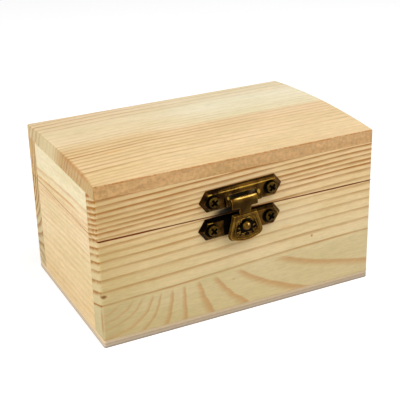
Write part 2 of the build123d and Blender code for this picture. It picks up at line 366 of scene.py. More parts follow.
rightWood = {**sideWood, "outer": 50.0, "inward": -1.0, "seed": 19.0, "marks": [],
             "climb": [(-32.5, -1.0), (0, 0.4), (32.5, 1.0)]}

topWood = {
    **plainWood,
    "axes": (0, 2, 1),
    "outer": 57.0,
    "inward": -1.0,
    "lines": [(-40.4, 0.3), (-38.0, 0.35), (-35.8, 0.3), (-33.4, 0.3), (-31.2, 0.35), (-29.2, 0.4),
              (-27.2, 0.3), (-25.4, 0.4), (-22.5, 0.85), (-19.3, 0.6), (-16.9, 0.65), (-14.4, 0.55),
              (-12.0, 0.75), (-9.7, 1.2), (-7.5, 0.7), (-5.1, 0.75), (-2.9, 0.35), (-0.6, 0.4), (1.7, 0.45),
              (4.0, 0.3), (7.4, 0.15), (10.5, 0.2), (14.6, 0.15), (18.3, 0.55), (22.0, 0.8), (25.8, 0.8),
              (29.0, 0.6), (32.0, 0.5)],
    "climb": [(-50, -0.5), (-45, 0.0), (-22, 2.4), (8, 2.9), (38, 3.3), (50, 3.3)],
    "dip": (-0.6, 0.0, 1.0), "wobble": 0.55, "lineWidth": 0.8, "lineStrength": 0.52, "endStrength": 0.85,
    "fade": [(-50, 1.15), (-25, 0.9), (0, 0.6), (20, 0.45), (50, 0.5)],
    "tones": [(-38, (240, 208, 158)), (-29, (243, 214, 166)), (-5.0, (242, 212, 166)),
              (-2.9, (246, 230, 190)), (14, (248, 236, 202)), (19, (246, 228, 191)), (33, (244, 224, 185))],
    "startTones": [(-38, (240, 208, 156)), (-29, (243, 214, 164)), (-5, (242, 211, 162)),
                   (1, (245, 222, 178)), (14, (246, 226, 186)), (19, (243, 219, 178)),
                   (33, (240, 214, 172))],
    "tints": [(-50, (252, 249, 243)), (-20, (254, 253, 250)), (10, white), (50, white)],
    "endTones": [(-33, (217, 212, 200)), (-6, (216, 208, 192)), (4, (226, 227, 218)),
                 (33, (226, 227, 218))],
    "line": (180, 122, 56), "endLine": (160, 108, 56), "longTone": (236, 218, 201), "arris": 0.75,
    "seam": 0.0, "mottle": 0.055, "markDepth": 0.45, "seed": 23.0,
    "marks": [(-21.0, -32.4, 0.8, 0.6, 0.9, (132, 74, 30)), (-49.2, -32.4, 1.3, 0.9, 0.9, (142, 80, 35)),
              (-50.0, -20.0, 0.9, 22.0, 0.6, (190, 134, 76)),
              (-34.0, -11.2, 6.0, 0.9, 0.4, (224, 172, 96)), (-4.0, 10.8, 5.0, 0.7, 0.2, (206, 170, 122))],
}

# noises of the wood: scale along the grain and across it, detail, roughness, number added to the seed
grainNoise = {
    "wander": (0.016, 0.05, 2.0, 0.5, 0),
    "ripple": (0.12, 0.3, 2.0, 0.5, 1),
    "uneven": (0.05, 0.6, 3.0, 0.6, 2),
    "patches": (0.03, 0.12, 3.0, 0.55, 3),
    "fibre": (0.09, 3.2, 4.0, 0.65, 4),
    "pore": (0.35, 4.5, 1.0, 0.5, 6),
    "mottle": (0.3, 1.1, 3.0, 0.7, 8),
}
woodRange = 140.0                    # the level curves and tones cover this many millimetres
woodFloor = -60.0
boardLength = 100.0                  # the curves along a board cover this many, half of them on each side
climbLimit = 10.0
dipTop = 50.0                        # the height at which the dip has its first value
seamHeight = 37.4


def levelUnits(pairs):
    return [((value - woodFloor) / woodRange, kept) for value, kept in pairs]


def alongUnits(pairs):
    return [(value / boardLength + 0.5, kept) for value, kept in pairs]


def ringShare(unit, spots):
    # counts the growth lines, so that the fraction runs from line to line
    count = len(spots) - 1
    knots = [(spot, index / count) for index, spot in enumerate(spots)]
    counted = floatCurve(unit, [(0.0, 0.0), *knots, (1.0, 1.0)])
    return calc("FRACT", times(counted, float(count)))


def fanLines(figure, along, across, wander, ripple, uneven):
    # growth lines that fan out downwards round one upright
    drop = calc("MAXIMUM", ratio(figure["fanTop"], across, figure["fanDrop"]), 0.0)
    shifted = calc("SUBTRACT", along, figure["upright"])
    away = calc("ABSOLUTE", shifted)
    sides = []
    for base, growth, reach, power in (figure["rightSpread"], figure["leftSpread"]):
        faster = timesPlus(calc("POWER", away, reach), growth, base)
        sides.append(times(calc("POWER", drop, power), faster))
    spread = mixValue(calc("LESS_THAN", shifted, 0.0), *sides)
    shifted = calc("DIVIDE", shifted, calc("ADD", spread, 1.0))
    shifted = calc("ADD", shifted, figure["upright"])
    shifted = timesPlus(wander, 2.0, shifted)
    shifted = timesPlus(ripple, 1.0, shifted)
    low, high = figure["span"]
    spots = [(value - low) / (high - low) for value in figure["lines"]]
    share = ringShare(ratio(shifted, low, high - low), spots)
    width = timesPlus(uneven, 0.25, figure["lineWidth"])
    peak = figure["linePeak"]
    rising = smoothStep(share, calc("SUBTRACT", peak + 0.02, width), peak)
    return times(rising, smoothStep(share, peak, 1.0, 1.0, 0.0))


def woodMaterial(name, look, figure=None):
    material, tree = newMaterial(name)
    place, normal = surface(tree)
    spot = separate(place)
    along, deep, across = (spot[i] for i in look["axes"])
    deep = times(calc("SUBTRACT", deep, look["outer"]), look["inward"])
    facing = [calc("ABSOLUTE", side) for side in separate(normal)]
    endways, outward, sideways = (facing[i] for i in look["axes"])
    seed = look["seed"]

    def grain(kind):
        alongScale, otherScale, detail, rough, ownSeed = grainNoise[kind]
        stretched = vector(times(along, alongScale), times(deep, otherScale), times(across, otherScale))
        return noise(stretched, 1.0, detail, rough, seed + ownSeed)

    # the level of a point: its height once the climb, dip and wander of the growth lines are taken out
    wander = calc("SUBTRACT", grain("wander"), 0.5)
    ripple = calc("SUBTRACT", grain("ripple"), 0.5)
    dipBase, dipGrowth, dipLimit = look["dip"]
    dip = timesPlus(calc("SUBTRACT", dipTop, across), dipGrowth, dipBase)
    dip = calc("MINIMUM", dip, dipLimit)
    endToEnd = timesPlus(along, 1 / boardLength, 0.5)
    climb = rangeCurve(endToEnd, alongUnits(look["climb"]), -climbLimit, climbLimit)
    level = calc("SUBTRACT", across, climb)
    level = timesPlus(deep, dip, level)
    level = timesPlus(wander, 2 * look["wobble"], level)
    level = timesPlus(ripple, 0.35 * look["wobble"], level)

    # where the point stands between two growth lines, how far apart they are and how strong
    lines = sorted(look["lines"])
    unit = ratio(level, woodFloor, woodRange)
    spots = [value for value, _ in levelUnits(lines)]
    share = ringShare(unit, spots)
    gaps = [after[0] - before[0] for before, after in zip(lines, lines[1:])]
    middles = [(before + after) / 2 for before, after in zip(spots, spots[1:])]
    gap = rangeCurve(unit, [(0.0, gaps[0]), *zip(middles, gaps), (1.0, gaps[-1])], 0.0, 10.0)
    strength = floatCurve(unit, [(0.0, 0.5), *levelUnits(lines), (1.0, 0.5)])
    strength = times(strength, rangeCurve(endToEnd, alongUnits(look["fade"]), 0.0, 2.0))
    uneven = grain("uneven")

    # each line darkens slowly and ends sharply, as late wood does, and is wider in the end grain
    endGrain = smoothStep(endways, 0.45, 0.8)
    wide = timesPlus(endGrain, 0.35 * look["lineWidth"], look["lineWidth"])
    thick = calc("DIVIDE", times(timesPlus(uneven, 1.3, 0.35), wide), gap)
    first, full, last = (timesPlus(thick, -width, 1.0) for width in (1.9, 0.45, 0.35))
    rising = smoothStep(share, first, full)
    falling = smoothStep(share, last, 1.0, 1.0, 0.0)
    line = times(rising, falling, strength, smoothStep(uneven, 0.25, 0.62, 0.45, 1.15))
    late = times(calc("POWER", share, 2.5), strength, 0.22)

    # slow changes of tone across and along the board
    patches = grain("patches")
    toneUnit = shaken(unit, patches, 0.03)
    colour = ramp(toneUnit, levelUnits(look["tones"]))
    if "startTones" in look:
        # other tones at the left end, which give way to the first ones along the board
        start = ramp(toneUnit, levelUnits(look["startTones"]))
        passed = smoothStep(timesPlus(patches, 24.0, along), -12.0, 28.0)
        colour = mixColour(passed, start, colour)
    colour = tinted(colour, ramp(endToEnd, alongUnits(look["tints"])))
    cloud = smoothStep(patches, 0.3, 0.7, 0.95, 1.04)
    clouds = output("ShaderNodeCombineColor", {0: cloud, 1: cloud, 2: times(cloud, cloud)})
    colour = tinted(colour, clouds)

    if figure:
        # below the last straight line, on the face alone, the straight ones give way to a fan of lines
        edge = figure["edge"]
        below = smoothStep(level, edge - 3.2, edge - 0.8, 1.0, 0.0)
        shown = smoothStep(level, edge - 1.2, edge - 0.3)
        line, late = times(line, shown), times(late, shown)
        fan = fanLines(figure, along, across, wander, ripple, uneven)
        fan = times(fan, below, calc("SUBTRACT", 1.0, endGrain),
                    smoothStep(along, *figure["fadeIn"], 0.6, 1.0), figure["lineStrength"])
        colour = mixColour(fan, colour, linear(figure["line"]))

    amount = timesPlus(line, look["lineStrength"], late)
    amount = times(amount, timesPlus(endGrain, look["endStrength"] - 1.0, 1.0))
    amount = output("ShaderNodeClamp", {0: amount})
    lineTone = mixColour(endGrain, linear(look["line"]), linear(look["endLine"]))
    if "endTone" in look:
        endTone = linear(look["endTone"])
    else:
        endTone = ramp(toneUnit, levelUnits(look["endTones"]))
    colour = mixColour(endGrain, colour, tinted(colour, endTone))
    colour = mixColour(amount, colour, lineTone)

    # fibres, short darker pores and fine blotches
    speckle = noise(place, 2.6, 2.0, 0.6, seed + 5)
    fibre = mixValue(endGrain, grain("fibre"), speckle)
    pore = smoothStep(grain("pore"), 0.69, 0.8)
    mottle = smoothStep(grain("mottle"), 0.3, 0.7, 1.0 - look["mottle"], 1.0 + look["mottle"])
    shade = times(smoothStep(fibre, 0.3, 0.7, 0.92, 1.04), mottle)
    shade = timesPlus(pore, -0.1, shade)

    # the sawn long edges are rougher, and the arris above them is a little soiled
    sawn = smoothStep(sideways, 0.3, 0.5)
    colour = mixColour(sawn, colour, tinted(colour, linear(look["longTone"])))
    blotch = noise(place, 0.9, 3.0, 0.65, seed + 9)
    shade = times(shade, mixValue(sawn, 1.0, smoothStep(blotch, 0.32, 0.68, 0.85, 1.11)))
    soiled = smoothStep(times(sideways, outward), 0.14, 0.3)
    soiled = times(soiled, smoothStep(blotch, 0.35, 0.6), look["arris"])
    colour = mixColour(soiled, colour, linear(look["arrisTone"]))
    colour = shaded(colour, shade)

    # the saw left the two rims of the joint a little burnt, less so inside and on the end grain
    fromSeam = calc("ABSOLUTE", calc("SUBTRACT", spot[2], seamHeight))
    burnt = smoothStep(shaken(fromSeam, uneven, 0.5), 0.14, 0.38, look["seam"], 0.0)
    burnt = times(burnt, timesPlus(endGrain, -0.8, 1.0))
    rim = smoothStep(facing[2], 0.5, 0.9)
    inside = smoothStep(timesPlus(uneven, 0.8, deep), 0.6, 1.6)
    burnt = times(burnt, timesPlus(times(rim, inside), -0.9, 1.0))
    colour = mixColour(burnt, colour, linear(look["seamTone"]))

    # knots, stains and painted shadows
    for markAlong, markAcross, long, tall, power, tint in look["marks"]:
        offset = vector(ratio(along, markAlong, long), times(deep, look["markDepth"]),
                        ratio(across, markAcross, tall))
        away = timesPlus(ripple, 0.8, vectorCalc("LENGTH", offset)["Value"])
        colour = mixColour(smoothStep(away, 0.35, 1.1, power, 0.0), colour, linear(tint))

    rough = smoothStep(fibre, 0.2, 0.8, 0.52, 0.72)
    height = timesPlus(line, 0.6, times(fibre, 0.5))
    height = timesPlus(pore, -0.5, height)
    closeMaterial(colour, rough, height, 0.035, {"Specular IOR Level": 0.12})
    return material


frontFigure = {
    "fanTop": 18.0,
    "fanDrop": 14.0,
    "upright": -20.8,
    # how the lines spread downwards: at the upright, growth with the distance from it,
    # the power of that distance and the power of the depth
    "leftSpread": (0.5, 0.00115, 2.0, 2.0),
    "rightSpread": (0.9, 0.009, 1.0, 1.34),
    "lines": [-66.0, -46.5, -41.5, -37.6, -34.8, -31.1, -28.6, -24.5, -20.5, -15.7, -10.1, -1.5, 15.2,
              95.0],
    "span": (-70.0, 100.0),          # the lines lie between these
    "edge": 15.9,                    # level of the last straight line
    "fadeIn": (-48.0, -24.0),        # the lines grow stronger between these
    "lineWidth": 0.26,               # share of the space between two lines
    "linePeak": 0.9,                 # where in that space a line is darkest
    "lineStrength": 0.72,
    "line": (206, 154, 96),
}

lidWood = {
    **frontWood, "line": (180, 120, 54), "lineStrength": 0.78, "endStrength": 1.42,
    "fade": [(-50, 1.0), (50, 1.15)],
    "marks": [(-0.7, 42.9, 5.6, 3.2, 0.97, (10, 5, 3)), (-4.4, 38.7, 3.2, 1.4, 0.97, (10, 5, 3)),
              (-5.6, 38.0, 6.4, 2.1, 0.96, (14, 8, 4))],   # painted shadow under the latch: in the notch behind the roll and between the plates
}
pineFront = woodMaterial("pineFront", lidWood)
pineFigured = woodMaterial("pineFigured", frontWood, frontFigure)
pineBack = woodMaterial("pineBack", backWood)
pineSide = woodMaterial("pineSide", sideWood)
pineRight = woodMaterial("pineRight", rightWood)
pineTop = woodMaterial("pineTop", topWood)


plyWood = {
    "bands": [(0.0, (182, 164, 142)), (0.2, (184, 166, 144)), (0.27, (214, 194, 168)),
              (0.44, (214, 194, 166)), (0.5, (202, 178, 150)), (0.6, (206, 182, 152)),
              (0.68, (232, 208, 172)), (1.0, (230, 204, 160))],
    "long": 0.87,                    # the long edges are this much darker than the short ones
    "thickness": 2.8,
}


def plyMaterial(name, look):
    material, tree = newMaterial(name)
    place, normal = surface(tree)
    x, y, z = separate(place)
    waver = noise(place, 0.3, 2.0, 0.5, 31.0)
    level = timesPlus(waver, 0.2, calc("SUBTRACT", z, 0.1))
    colour = ramp(calc("DIVIDE", level, look["thickness"]), look["bands"])
    threads = vector(times(x, 0.1), times(y, 2.0), times(z, 3.0))
    fibre = noise(threads, 1.0, 4.0, 0.65, 33.0)
    speckle = noise(place, 2.2, 3.0, 0.65, 35.0)
    shade = timesPlus(speckle, 0.5, times(fibre, 0.5))
    endways = calc("ABSOLUTE", separate(normal)[0])
    shade = times(smoothStep(shade, 0.35, 0.65, 0.9, 1.03),
                  smoothStep(endways, 0.4, 0.8, look["long"], 1.0))
    rough = smoothStep(fibre, 0.2, 0.8, 0.6, 0.78)
    closeMaterial(shaded(colour, shade), rough, fibre, 0.03, {"Specular IOR Level": 0.3})
    return material


plyBirch = plyMaterial("plyBirch", plyWood)
print("wood ready")


# mesh helpers

def newTree(name, sizes):
    # a geometry tree whose inputs are the sizes, with a Geometry socket on each side
    tree = bpy.data.node_groups.new(name, "GeometryNodeTree")
    tree.interface.new_socket("Geometry", in_out="INPUT", socket_type="NodeSocketGeometry")
    for label, start in sizes.items():
        kind = {int: "NodeSocketInt", float: "NodeSocketFloat", tuple: "NodeSocketVector"}[type(start)]
        tree.interface.new_socket(label, in_out="INPUT", socket_type=kind).default_value = start
    tree.interface.new_socket("Geometry", in_out="OUTPUT", socket_type="NodeSocketGeometry")
    return tree, addNode(tree, "NodeGroupInput").outputs


def closeTree(shape, material):
    whole = output("GeometryNodeRealizeInstances", {0: shape})
    painted = output("GeometryNodeSetMaterial", {0: whole, "Material": material})
    follow("NodeGroupOutput", {0: painted})


def growFrom(piece, tree, values):
    # hands the sizes to the tree by each socket's identifier
    modifier = piece.modifiers.new("shape", "NODES")
    modifier.node_group = tree
    for item in tree.interface.items_tree:
        if item.in_out == "INPUT" and item.name in values:
            modifier[item.identifier] = values[item.name]


def newPiece(name, data):
    piece = bpy.data.objects.new(name, data)
    scene.collection.objects.link(piece)
    return piece


def settle(piece):
    # what the modifiers make becomes the piece's own plain mesh
    graph = bpy.context.evaluated_depsgraph_get()
    graph.update()
    shaped = piece.evaluated_get(graph)
    mesh = bpy.data.meshes.new_from_object(shaped, preserve_all_data_layers=True, depsgraph=graph)
    name = piece.name
    bpy.data.objects.remove(piece)
    mesh.name = name
    return newPiece(name, mesh)


def faceOutward(mesh, matrix=Matrix()):
    # moves the mesh to its place and turns its faces outward
    work = bmesh.new()
    work.from_mesh(mesh)
    bmesh.ops.transform(work, matrix=matrix, verts=work.verts)
    bmesh.ops.recalc_face_normals(work, faces=work.faces)
    work.to_mesh(mesh)
    work.free()
    mesh.shade_smooth()


def hold(piece, body, slot, *nodes):
    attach(piece, body)
    if nodes:
        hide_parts(*nodes)


# boards

boards = {
    "bevelWidth": 1.2,
    "segments": 5,
    "corner": 0.9,                   # sanded upright corners of the box
    "arris": 0.13,                   # hairline softening of every other edge
    "crownRows": 41,
    "crown": 1.6,
    "edgeRise": 4.3,                 # the top board's thickness at its long edges
}


def boardTree(material):
    # a board between two corners, crowned from front to back, with the width of each edge's round
    tree, size = newTree("board_" + material.name, {
        "Low Corner": (0.0, 0.0, 0.0), "High Corner": (1.0, 1.0, 1.0), "Rows": 2, "Crown": 0.0,
        "Corner Round": 0.0, "Upper Round": 0.0, "Lower Round": 0.0, "Arris": 0.0,
        "Box Half": (1.0, 1.0, 1.0)})
    low, high = size["Low Corner"], size["High Corner"]
    span = vectorCalc("SUBTRACT", high, low)[0]
    middle, halfSpan = (vectorCalc("MULTIPLY", value, (0.5,) * 3)[0]
                        for value in (vectorCalc("ADD", high, low)[0], span))
    block = output("GeometryNodeMeshCube", {"Size": span, "Vertices Y": size["Rows"]})
    block = output("GeometryNodeSetPosition", {0: block, "Offset": middle})

    spot = addNode(tree, "GeometryNodeInputPosition").outputs[0]
    fromMiddle = vectorCalc("SUBTRACT", spot, middle)[0]
    near, halves, outer, reach = map(separate, (fromMiddle, halfSpan, spot, size["Box Half"]))
    slack = 0.01 * mm

    def onFace(value, limit):
        limit = calc("SUBTRACT", limit, slack)
        return calc("GREATER_THAN", calc("ABSOLUTE", value), limit)

    onX, onY, onZ = (onFace(near[i], halves[i]) for i in range(3))
    upright = times(onX, onY)
    level = times(onZ, calc("MAXIMUM", onX, onY))
    boxCorner = times(onFace(outer[0], reach[0]), onFace(outer[1], reach[1]))
    above = calc("GREATER_THAN", near[2], 0.0)
    uprightRound = mixValue(boxCorner, size["Arris"], size["Corner Round"])
    levelRound = mixValue(above, size["Lower Round"], size["Upper Round"])
    weight = timesPlus(level, levelRound, times(upright, uprightRound))
    weights = {0: block, "Name": "bevel_weight_edge", "Value": weight}
    block = output("GeometryNodeStoreNamedAttribute", weights, domain="EDGE")

    across = calc("DIVIDE", near[1], halves[1])
    arch = timesPlus(times(across, across), -1.0, 1.0)
    lift = vector(0.0, 0.0, times(size["Crown"], arch, above))
    block = output("GeometryNodeSetPosition", {0: block, "Offset": lift})
    closeTree(block, material)
    return tree


def buildBoard(node, body, slot, material, look, upper=None, lower=None, crowned=False):
    low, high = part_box(node)
    if crowned:
        high = Vector((high.x, high.y, low.z + look["edgeRise"] * mm))
    widest = look["bevelWidth"]
    piece = newPiece(node + "_wood", bpy.data.meshes.new(node + "_wood"))
    growFrom(piece, boardTree(material), {
        "Low Corner": tuple(low), "High Corner": tuple(high), "Rows": look["crownRows"] if crowned else 2,
        "Crown": look["crown"] * mm if crowned else 0.0, "Corner Round": look["corner"] / widest,
        "Upper Round": (upper or look["arris"]) / widest, "Lower Round": (lower or look["arris"]) / widest,
        "Arris": look["arris"] / widest, "Box Half": (cadBounds[1].x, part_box("bottom_board")[1].y, 1.0)})
    bevel = piece.modifiers.new("edges", "BEVEL")
    bevel.limit_method = "WEIGHT"
    bevel.width = widest * mm
    bevel.segments = look["segments"]
    piece.modifiers.new("normals", "WEIGHTED_NORMAL").keep_sharp = True
    hold(settle(piece), body, slot, node)


panels = {                           # wood of the base, wood of the lid, round of the sawn rims
    "front": (pineFigured, pineFront, 0.1),
    "back": (pineBack, pineBack, 0.1),
    "left": (pineSide, pineSide, 0.05),
    "right": (pineRight, pineRight, 0.05),
}
for side, (wood, _, rim) in panels.items():
    buildBoard(f"base_{side}_panel", "base", "pine", wood, boards, upper=rim)
buildBoard("bottom_board", "base", "plywood", plyBirch, boards, upper=0.06, lower=0.3)
for side, (_, wood, rim) in panels.items():
    buildBoard(f"lid_{side}_panel", "lid", "pine", wood, boards, lower=rim)
buildBoard("lid_top_board", "lid", "pine", pineTop, boards, upper=0.5, crowned=True)
print("boards ready")


# metal

antique = {
    "dark": (31, 16, 4),
    "olive": (82, 56, 18),
    "gold": (156, 121, 46),
    "shine": (212, 176, 96),
    # grimeAndShadow serves dirt and also painted shadow and shade, shine serves rubbing and also painted
    # highlights
    "grimeAndShadow": (5, 3, 2),
    "wearFrom": 0.58,                # edgeWearAndLight is 0.5 on a flat place, more on an edge made bright by use or under a painted highlight
    "wearTo": 0.78,
    "shineFrom": 0.85,
    "shineTo": 1.0,
    "grimeAndShadowFull": 0.3,
    "grimeAndShadowNone": 0.47,
    "lean": 0.005,                   # painted light: how much lighter the metal grows to the right, per millimetre
    "roughDark": 0.5,
    "roughWorn": 0.3,
    "patchScale": 0.35,              # patches per millimetre
}

screwPlate = {**antique, "dark": (46, 32, 8), "olive": (90, 68, 22), "gold": (126, 100, 42), "lean": 0.0,
              "wearFrom": 0.54, "wearTo": 0.66}
tongueBrass = {**antique, "dark": (70, 45, 12), "olive": (106, 78, 26), "gold": (142, 109, 44),
               "lean": 0.01}


def metalMaterial(name, look):
    material, tree = newMaterial(name)
    place, _ = surface(tree)
    fromLeft = separate(place)[0]
    edge = addNode(tree, "ShaderNodeAttribute", attribute_name="edgeWearAndLight").outputs["Fac"]
    patches = noise(place, look["patchScale"], 4.0, 0.6, 5.0)
    grain = noise(place, 3.0, 3.0, 0.6, 9.0)
    pits = noise(place, 7.0, 2.0, 0.5, 13.0)
    # edge holds rubbing and dirt together with painted highlights and shadows, so the gold, shine and
    # grimeAndShadow layers show both
    rubbedAndHighlit = shaken(shaken(edge, grain, 0.3), patches, 0.3)
    wornAndHighlit = smoothStep(rubbedAndHighlit, look["wearFrom"], look["wearTo"])
    dirtAndShadow = smoothStep(edge, look["grimeAndShadowFull"], look["grimeAndShadowNone"], 1.0, 0.0)
    # painted light, lighter to the right by lean
    tone = timesPlus(fromLeft, look["lean"], timesPlus(grain, 0.35, patches))
    tone = smoothStep(tone, 0.5, 0.85)
    bareAndHighlight = smoothStep(rubbedAndHighlit, look["shineFrom"], look["shineTo"])
    colour = linear(look["dark"])
    for share, layer in ((tone, "olive"), (wornAndHighlit, "gold"), (bareAndHighlight, "shine"), (dirtAndShadow, "grimeAndShadow")):
        colour = mixColour(share, colour, linear(look[layer]))
    rough = smoothStep(wornAndHighlit, 0.0, 1.0, look["roughDark"], look["roughWorn"])
    rough = shaken(rough, grain, 0.3)
    height = timesPlus(pits, 0.5, grain)
    closeMaterial(colour, rough, height, 0.03, {"Metallic": 1.0})
    return material


plateMetal = metalMaterial("antiquePlate", antique)
hingeMetal = metalMaterial("antiqueHinge", {**antique, "lean": 0.0})
tongueMetal = metalMaterial("antiqueTongue", tongueBrass)
screwMetal = metalMaterial("antiqueScrew", screwPlate)


latchJoint = next(joint for joint in frame["joints"] if joint["name"] == "latch_hinge")
pinSpot = Vector(latchJoint["pos_m"])
alongPin = -Vector(latchJoint["axis"]).normalized()
outward = Vector((0, -1, 0))
tongueFrame = Matrix((alongPin, outward.cross(alongPin), outward)).transposed().to_4x4()
tongueFrame.translation = Vector((pinSpot.x, frontWood["outer"] * mm, pinSpot.z))   # under the pin


def markWearAndLight(mesh, reach, rounds=2, cap=1.0, shade=(), touches=()):
    # edgeWearAndLight: above 0.5 where the surface bulges, is bright from use or has a painted highlight,
    # below 0.5 in a crease, in dirt or under painted shade or shadow
    count = len(mesh.vertices)
    spots = np.array([v.co[:] for v in mesh.vertices]) / mm
    normals = np.array([v.normal[:] for v in mesh.vertices])
    a, b = np.array([edge.vertices[:] for edge in mesh.edges]).T
    step = spots[a] - spots[b]
    bend = ((normals[a] - normals[b]) * step).sum(1) / np.maximum((step ** 2).sum(1), 1e-6)
    links = np.maximum(np.bincount(a, minlength=count) + np.bincount(b, minlength=count), 1)
    value = (np.bincount(a, bend, count) + np.bincount(b, bend, count)) / links
    for _ in range(rounds):
        around = (np.bincount(a, value[b], count) + np.bincount(b, value[a], count)) / links
        value = 0.5 * value + 0.5 * around
    wearAndLight = np.clip(0.5 + 0.5 * value * reach, 0.0, cap)
    for direction, change in shade:
        wearAndLight += change * np.clip(normals @ np.array(Vector(direction).normalized()), 0.0, 1.0)
    local = (spots - np.array(tongueFrame.translation) / mm) @ np.array(tongueFrame.to_3x3())
    for x, y, long, tall, change in touches:
        away = np.hypot((local[:, 0] - x) / long, (local[:, 1] - y) / tall)
        share = np.clip((1.2 - away) / 0.4, 0.0, 1.0)
        wearAndLight += change * share * share * (3 - 2 * share)
    if "hollow" in mesh.attributes:
        hollow = np.zeros(count)
        mesh.attributes["hollow"].data.foreach_get("value", hollow)
        wearAndLight *= 1 - hollow
    wearAndLight = np.clip(wearAndLight, 0.0, 1.0).astype(np.float32)
    mesh.attributes.new("edgeWearAndLight", "FLOAT", "POINT").data.foreach_set("value", wearAndLight)


def pressedPiece(name, node, body, material, voxel, softening, wearAndLight):
    # the CAD form with evenly spaced points and its sharp edges rubbed round
    mesh = frame["nodes"][node].data.copy()
    mesh.materials.clear()
    work = bmesh.new()
    work.from_mesh(mesh)
    bmesh.ops.remove_doubles(work, verts=work.verts, dist=0.001 * mm)
    work.to_mesh(mesh)
    work.free()
    piece = newPiece(name, mesh)
    even = piece.modifiers.new("even", "REMESH")
    even.mode = "VOXEL"
    even.voxel_size = voxel * mm
    even.use_smooth_shade = True
    soft = piece.modifiers.new("soften", "SMOOTH")
    soft.factor = 0.5
    soft.iterations = softening
    piece = settle(piece)
    piece.data.materials.append(material)
    markWearAndLight(piece.data, 0.2, **wearAndLight)
    hold(piece, body, "antique_brass", node)
    return piece


# painted light and shade, dirt and rubbing: shade is (direction, change) and paints light or shade on the
# flanks that face that way; touches are (x, y, half length, half height, change), x to the right along the
# pin, y up from it
haspWearAndLight = {
    "shade": [((-1, 0, 0), -0.08), ((0, 0, -1), -0.08), ((1, 0, 0), 0.08), ((0, 0, 1), -0.18)],
    "touches": [
        (-10.95, 2.0, 2.25, 2.2, -0.4), (9.85, 2.0, 2.25, 2.2, -0.4),   # painted shadow and dirt round the screws, set to their left
        # a bright spot at the upper left and the bright ridge along the top edge: brightened by use, partly
        # painted highlight
        (-11.6, 4.4, 0.9, 0.32, 0.24), (1.5, 4.6, 10.5, 0.5, 0.17),
        (-5.5, 1.9, 0.4, 0.55, 0.27), (5.6, 1.7, 0.45, 0.65, 0.3),   # painted highlights on the ears
        (-6.5, 0.3, 0.5, 2.4, -0.08), (6.5, 0.3, 0.5, 2.4, -0.05)],
}
catchWearAndLight = {
    "shade": [((-1, 0, 0), -0.1), ((0, 0, -1), -0.1), ((0, 0, 1), -0.34), ((1, 0, 0), 0.07)],
    "touches": [
        # painted shadow and dirt round the screws, set to their left
        (-11.8, -7.75, 2.25, 2.2, -0.4), (9.0, -8.05, 2.25, 2.2, -0.4),
        # a spot brightened by use at the upper left, painted shade on the left part of the top edge, painted
        # light on the right end
        (-12.0, -5.2, 1.0, 0.32, 0.26), (-7.0, -4.5, 8.0, 0.9, -0.28), (12.5, -8.4, 2.6, 3.2, 0.12),
        # the bright ridge along the top edge: brightened by use, partly painted highlight
        (8.5, -5.1, 4.5, 0.35, 0.14),
        (-6.0, -8.0, 1.5, 4.6, -0.34)],   # in the shadow of the shield
}
tongueWearAndLight = {
    "touches": [
        (0.6, 1.2, 4.0, 0.27, 0.47),   # painted highlight on the top of the roll
        (0.0, -1.5, 5.4, 2.9, -0.13), (0.0, -9.2, 4.2, 3.4, -0.18),   # flap and neck, shield's field
        (-0.55, -8.5, 1.85, 1.85, -0.2), (0.0, -13.0, 5.2, 0.9, 0.08)],   # painted shadow round the knob, set to its left; lighter lower border
}
pressed = {                          # body, metal, space between points, rounds of softening, dirt, rubbing and painted light and shade
    "latch_hasp_plate": ("lid", plateMetal, 0.11, 4, haspWearAndLight),
    "latch_catch_plate": ("base", plateMetal, 0.11, 4, catchWearAndLight),
    "latch_tongue": ("tongue", tongueMetal, 0.1, 4, tongueWearAndLight),
}
for side in ("left", "right"):
    for body in ("base", "lid"):
        pressed[f"hinge_{side}_{body}_leaf"] = (body, hingeMetal, 0.13, 3, {})
for node, (body, material, voxel, softening, wearAndLight) in pressed.items():
    made = pressedPiece(node + "_pressed", node, body, material, voxel, softening, wearAndLight)
    print(made.name, len(made.data.vertices))
print("pressed pieces ready")


# screws

screws = {
    "sizes": {"Head Radius": 1.79, "Head Height": 0.98, "Shank Radius": 0.88, "Length": 6.1,
              "Arm Span": 2.7, "Arm Width": 0.85, "Arm Depth": 0.62},
    # radius and height over tip, taper, shank, seat, rim and dome: the head's radius is 1 here,
    # the shank's 0.4, and the seat lies at 0.5
    "profile": [(0.0, 0.0), (0.06, 0.02), (0.4, 0.28), (0.4, 0.5), (0.4, 0.5), (0.97, 0.5), (1.0, 0.53),
                (1.0, 0.7), (0.97, 0.8), (0.88, 0.88), (0.7, 0.95), (0.4, 0.99), (0.0, 1.0)],
    "seatRow": 4,
    "turns": 40,
    "spins": (38.0, 52.0, 20.0, 64.0, 8.0, 30.0, 75.0, 12.0),   # how far each recess is turned, degrees
}


